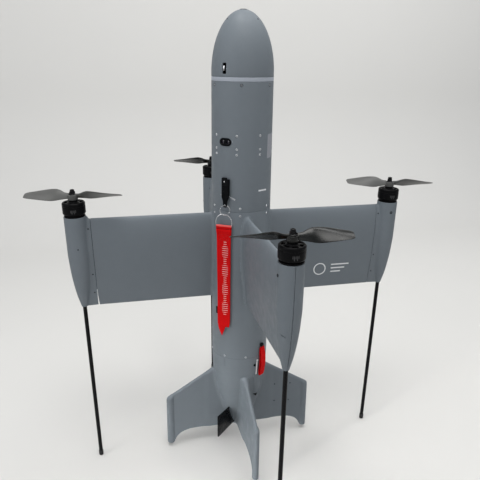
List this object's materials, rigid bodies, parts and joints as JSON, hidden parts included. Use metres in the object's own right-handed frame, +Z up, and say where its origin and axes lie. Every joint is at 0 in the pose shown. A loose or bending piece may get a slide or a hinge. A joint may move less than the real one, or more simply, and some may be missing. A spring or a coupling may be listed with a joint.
{
  "type": "fixed wing drone",
  "caption": "Tail-sitting fixed wing drone: round fuselage standing nose up on slim legs, with wings, tip nacelles, motors with propellers, and tail fins.",
  "frame": {"origin": "on the fuselage axis at ground level, under the tail", "axes": "+Z up towards the nose, +X along the right wing, -Y along the front wing"},
  "size_m": [0.9065, 0.7569, 0.9948],
  "materials": {
    "body_paint": "matte blue-grey paint over moulded shell",
    "band_paint": "light grey satin",
    "black_plastic": "black moulded plastic",
    "carbon_tube": "satin woven carbon fibre",
    "foot_rubber": "black rubber",
    "motor_metal": "black anodised, satin",
    "propeller_plastic": "dark grey, glossy",
    "nut_metal": "black anodised, glossy",
    "ring_steel": "bright steel wire",
    "red_webbing": "woven red nylon webbing",
    "battery_wrap": "dark heat-shrink wrap",
    "tray_laminate": "carbon laminate sheet",
    "board": "green circuit board, coated"
  },
  "bodies": {
    "airframe": {"front_fuselage": "body_paint", "centre_fuselage": "body_paint", "tail_cone": "body_paint", "nose_joint_ring": "band_paint", "spar_left_right": "carbon_tube", "spar_front_back": "carbon_tube", "wing_right": "body_paint", "nacelle_right_half_a": "body_paint", "nacelle_right_half_b": "body_paint", "leg_foot_right": "foot_rubber", "fin_right": "body_paint", "leg_tube_right": "carbon_tube", "motor_base_right": "motor_metal", "wing_back": "body_paint", "nacelle_back_half_a": "body_paint", "nacelle_back_half_b": "body_paint", "leg_foot_back": "foot_rubber", "fin_back": "body_paint", "leg_tube_back": "carbon_tube", "motor_base_back": "motor_metal", "wing_left": "body_paint", "nacelle_left_half_a": "body_paint", "nacelle_left_half_b": "body_paint", "leg_foot_left": "foot_rubber", "fin_left": "body_paint", "leg_tube_left": "carbon_tube", "motor_base_left": "motor_metal", "wing_front": "body_paint", "nacelle_front_half_a": "body_paint", "nacelle_front_half_b": "body_paint", "leg_foot_front": "foot_rubber", "fin_front": "body_paint", "leg_tube_front": "carbon_tube", "motor_base_front": "motor_metal", "battery_pack": "battery_wrap", "avionics_tray": "tray_laminate", "flight_controller": "board", "speed_controller": "board", "range_sensor": "black_plastic", "blade_antenna": "black_plastic"},
    "rotor_right": {"motor_bell_right": "motor_metal", "propeller_right": "propeller_plastic", "propeller_nut_right": "nut_metal"},
    "rotor_back": {"motor_bell_back": "motor_metal", "propeller_back": "propeller_plastic", "propeller_nut_back": "nut_metal"},
    "rotor_left": {"motor_bell_left": "motor_metal", "propeller_left": "propeller_plastic", "propeller_nut_left": "nut_metal"},
    "rotor_front": {"motor_bell_front": "motor_metal", "propeller_front": "propeller_plastic", "propeller_nut_front": "nut_metal"},
    "nose": {"nose_cone": "body_paint", "nose_tip_cap": "black_plastic"},
    "arming_key": {"arming_plug": "black_plastic"},
    "arming_link": {"link_ring": "ring_steel"},
    "arming_tag": {"split_ring": "ring_steel", "arming_ribbon": "red_webbing"},
    "tail_tag": {"tail_pin": "black_plastic", "tail_ribbon": "red_webbing"}
  },
  "joints": [
    {"name": "rotor_right_spin", "type": "hinge", "parent": "airframe", "child": "rotor_right", "pos_m": [0.35301, 0, 0.631], "axis": [0.0304, 0, 0.9995], "continuous": true},
    {"name": "rotor_back_spin", "type": "hinge", "parent": "airframe", "child": "rotor_back", "pos_m": [0, 0.35301, 0.631], "axis": [0, 0.0304, 0.9995], "continuous": true},
    {"name": "rotor_left_spin", "type": "hinge", "parent": "airframe", "child": "rotor_left", "pos_m": [-0.35301, 0, 0.631], "axis": [-0.0304, 0, 0.9995], "continuous": true},
    {"name": "rotor_front_spin", "type": "hinge", "parent": "airframe", "child": "rotor_front", "pos_m": [0, -0.35301, 0.631], "axis": [0, -0.0304, 0.9995], "continuous": true},
    {"name": "nose_lift", "type": "slide", "parent": "airframe", "child": "nose", "axis": [0, 0, 1], "range_m": [0, 0.15]},
    {"name": "arming_plug_pull", "type": "slide", "parent": "airframe", "child": "arming_key", "axis": [-0.6691, -0.7431, 0], "range_m": [0, 0.03]},
    {"name": "arming_link_swing", "type": "hinge", "parent": "arming_key", "child": "arming_link", "pos_m": [-0.04671, -0.05187, 0.6089], "axis": [-0.848, 0.5299, 0], "range_deg": [0, 25]},
    {"name": "arming_tag_swing", "type": "hinge", "parent": "arming_link", "child": "arming_tag", "pos_m": [-0.04883, -0.05055, 0.5901], "axis": [-0.848, 0.5299, 0], "range_deg": [0, 40]},
    {"name": "tail_tag_pull", "type": "slide", "parent": "airframe", "child": "tail_tag", "axis": [0.6018, -0.7986, 0], "range_m": [0, 0.015]}
  ]
}
